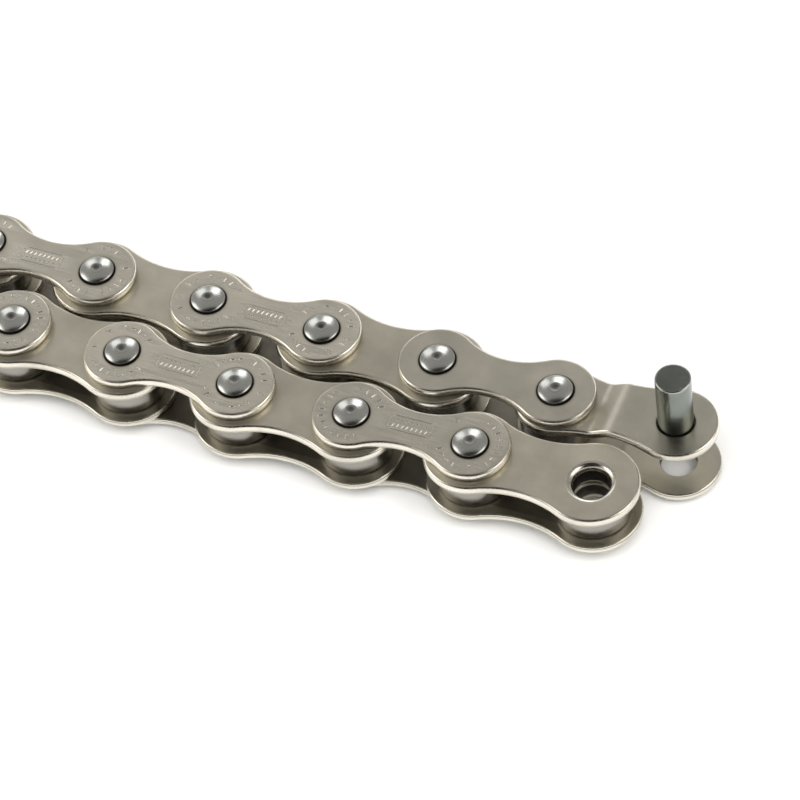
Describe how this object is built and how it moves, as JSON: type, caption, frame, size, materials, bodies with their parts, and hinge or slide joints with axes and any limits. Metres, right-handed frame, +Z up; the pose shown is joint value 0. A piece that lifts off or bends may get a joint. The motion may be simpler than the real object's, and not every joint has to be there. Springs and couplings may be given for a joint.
{
  "type": "roller chain",
  "caption": "Half-inch pitch narrow roller chain lying on its side, folded into two nested strands, with an offset half link whose connecting pin is only started.",
  "frame": {"origin": "middle of the foot of the bounding box: under the pair of strands, on the surface that the lower rivet heads stand on", "axes": "+X along both strands from the fold link towards the two open ends; +Y from the front strand to the back strand; +Z up, along the pins"},
  "size_m": [0.0908, 0.0214, 0.015],
  "materials": {
    "inner_plate": "nickel-plated steel, satin, fine lengthwise grain, bright tumbled edges",
    "outer_plate": "nickel-plated steel, satin, fine lengthwise grain, bright tumbled edges",
    "offset_plate": "nickel-plated steel, satin, polished where the bend is pressed",
    "roller": "nickel-plated turned steel, bright",
    "rivet_pin": "bright peened steel heads with a small centre dimple",
    "connecting_pin": "bare hardened steel, dark grey, ground, lightly oiled"
  },
  "bodies": {
    "link01": {"link01_inner_plate_bottom": "inner_plate", "link01_inner_plate_top": "inner_plate"},
    "link02": {"link02_outer_plate_bottom": "outer_plate", "link02_outer_plate_top": "outer_plate", "link02_pin_a": "rivet_pin", "link02_pin_b": "rivet_pin"},
    "link03": {"link03_inner_plate_bottom": "inner_plate", "link03_inner_plate_top": "inner_plate"},
    "link04": {"link04_outer_plate_bottom": "outer_plate", "link04_outer_plate_top": "outer_plate", "link04_pin_a": "rivet_pin", "link04_pin_b": "rivet_pin"},
    "link05": {"link05_inner_plate_bottom": "inner_plate", "link05_inner_plate_top": "inner_plate"},
    "link06": {"link06_outer_plate_bottom": "outer_plate", "link06_outer_plate_top": "outer_plate", "link06_pin_a": "rivet_pin", "link06_pin_b": "rivet_pin"},
    "link07": {"link07_inner_plate_bottom": "inner_plate", "link07_inner_plate_top": "inner_plate"},
    "link08": {"link08_outer_plate_bottom": "outer_plate", "link08_outer_plate_top": "outer_plate", "link08_pin_a": "rivet_pin", "link08_pin_b": "rivet_pin"},
    "link09": {"link09_inner_plate_bottom": "inner_plate", "link09_inner_plate_top": "inner_plate"},
    "link10": {"link10_outer_plate_bottom": "outer_plate", "link10_outer_plate_top": "outer_plate", "link10_pin_a": "rivet_pin", "link10_pin_b": "rivet_pin"},
    "link11": {"link11_inner_plate_bottom": "inner_plate", "link11_inner_plate_top": "inner_plate"},
    "link12": {"link12_outer_plate_bottom": "outer_plate", "link12_outer_plate_top": "outer_plate", "link12_pin_a": "rivet_pin", "link12_pin_b": "rivet_pin"},
    "link13": {"link13_offset_plate_bottom": "offset_plate", "link13_offset_plate_top": "offset_plate"},
    "link01_roller_a": {"link01_roller_a": "roller"},
    "link01_roller_b": {"link01_roller_b": "roller"},
    "link03_roller_a": {"link03_roller_a": "roller"},
    "link03_roller_b": {"link03_roller_b": "roller"},
    "link05_roller_a": {"link05_roller_a": "roller"},
    "link05_roller_b": {"link05_roller_b": "roller"},
    "link07_roller_a": {"link07_roller_a": "roller"},
    "link07_roller_b": {"link07_roller_b": "roller"},
    "link09_roller_a": {"link09_roller_a": "roller"},
    "link09_roller_b": {"link09_roller_b": "roller"},
    "link11_roller_a": {"link11_roller_a": "roller"},
    "link11_roller_b": {"link11_roller_b": "roller"},
    "link13_roller": {"link13_roller": "roller"},
    "connecting_pin": {"link13_connecting_pin": "connecting_pin"}
  },
  "joints": [
    {"name": "fold_hinge_front", "type": "hinge", "parent": "link07", "child": "link06", "pos_m": [-0.04047, -0.00576, 0.00431], "axis": [0, 0, 1], "range_deg": [-170, 0]},
    {"name": "fold_hinge_back", "type": "hinge", "parent": "link07", "child": "link08", "pos_m": [-0.03511, 0.00575, 0.00431], "axis": [0, 0, -1], "range_deg": [-109, 0]},
    {"name": "hinge_06_05", "type": "hinge", "parent": "link06", "child": "link05", "pos_m": [-0.02811, -0.00287, 0.00431], "axis": [0, 0, -1], "range_deg": [0, 57]},
    {"name": "hinge_05_04", "type": "hinge", "parent": "link05", "child": "link04", "pos_m": [-0.01541, -0.00313, 0.00431], "axis": [0, 0, -1], "range_deg": [0, 45]},
    {"name": "hinge_04_03", "type": "hinge", "parent": "link04", "child": "link03", "pos_m": [-0.00271, -0.00331, 0.00431], "axis": [0, 0, -1], "range_deg": [0, 45]},
    {"name": "hinge_03_02", "type": "hinge", "parent": "link03", "child": "link02", "pos_m": [0.00999, -0.00315, 0.00431], "axis": [0, 0, -1], "range_deg": [0, 45]},
    {"name": "hinge_02_01", "type": "hinge", "parent": "link02", "child": "link01", "pos_m": [0.02269, -0.003, 0.00431], "axis": [0, 0, -1], "range_deg": [0, 45]},
    {"name": "hinge_08_09", "type": "hinge", "parent": "link08", "child": "link09", "pos_m": [-0.02241, 0.00575, 0.00431], "axis": [0, 0, 1], "range_deg": [0, 45]},
    {"name": "hinge_09_10", "type": "hinge", "parent": "link09", "child": "link10", "pos_m": [-0.00971, 0.00575, 0.00431], "axis": [0, 0, 1], "range_deg": [0, 45]},
    {"name": "hinge_10_11", "type": "hinge", "parent": "link10", "child": "link11", "pos_m": [0.00299, 0.00575, 0.00431], "axis": [0, 0, 1], "range_deg": [0, 45]},
    {"name": "hinge_11_12", "type": "hinge", "parent": "link11", "child": "link12", "pos_m": [0.01569, 0.00575, 0.00431], "axis": [0, 0, 1], "range_deg": [0, 45]},
    {"name": "hinge_12_13", "type": "hinge", "parent": "link12", "child": "link13", "pos_m": [0.02839, 0.00575, 0.00431], "axis": [0, 0, 1], "range_deg": [0, 45]},
    {"name": "roller_01_a_spin", "type": "hinge", "parent": "link01", "child": "link01_roller_a", "pos_m": [0.03539, -0.003, 0.00431], "axis": [0, 0, 1], "continuous": true},
    {"name": "roller_01_b_spin", "type": "hinge", "parent": "link01", "child": "link01_roller_b", "pos_m": [0.02269, -0.003, 0.00431], "axis": [0, 0, 1], "continuous": true},
    {"name": "roller_03_a_spin", "type": "hinge", "parent": "link03", "child": "link03_roller_a", "pos_m": [0.00999, -0.00315, 0.00431], "axis": [0, 0, 1], "continuous": true},
    {"name": "roller_03_b_spin", "type": "hinge", "parent": "link03", "child": "link03_roller_b", "pos_m": [-0.00271, -0.00331, 0.00431], "axis": [0, 0, 1], "continuous": true},
    {"name": "roller_05_a_spin", "type": "hinge", "parent": "link05", "child": "link05_roller_a", "pos_m": [-0.01541, -0.00313, 0.00431], "axis": [0, 0, 1], "continuous": true},
    {"name": "roller_05_b_spin", "type": "hinge", "parent": "link05", "child": "link05_roller_b", "pos_m": [-0.02811, -0.00287, 0.00431], "axis": [0, 0, 1], "continuous": true},
    {"name": "roller_07_a_spin", "type": "hinge", "parent": "link07", "child": "link07_roller_a", "pos_m": [-0.04047, -0.00576, 0.00431], "axis": [0, 0, 1], "continuous": true},
    {"name": "roller_07_b_spin", "type": "hinge", "parent": "link07", "child": "link07_roller_b", "pos_m": [-0.03511, 0.00575, 0.00431], "axis": [0, 0, 1], "continuous": true},
    {"name": "roller_09_a_spin", "type": "hinge", "parent": "link09", "child": "link09_roller_a", "pos_m": [-0.02241, 0.00575, 0.00431], "axis": [0, 0, 1], "continuous": true},
    {"name": "roller_09_b_spin", "type": "hinge", "parent": "link09", "child": "link09_roller_b", "pos_m": [-0.00971, 0.00575, 0.00431], "axis": [0, 0, 1], "continuous": true},
    {"name": "roller_11_a_spin", "type": "hinge", "parent": "link11", "child": "link11_roller_a", "pos_m": [0.00299, 0.00575, 0.00431], "axis": [0, 0, 1], "continuous": true},
    {"name": "roller_11_b_spin", "type": "hinge", "parent": "link11", "child": "link11_roller_b", "pos_m": [0.01569, 0.00575, 0.00431], "axis": [0, 0, 1], "continuous": true},
    {"name": "roller_13_spin", "type": "hinge", "parent": "link13", "child": "link13_roller", "pos_m": [0.02839, 0.00575, 0.00431], "axis": [0, 0, 1], "continuous": true},
    {"name": "connecting_pin_slide", "type": "slide", "parent": "link13", "child": "connecting_pin", "axis": [0, 0, 1], "range_m": [-0.0064, 0.0016]}
  ]
}
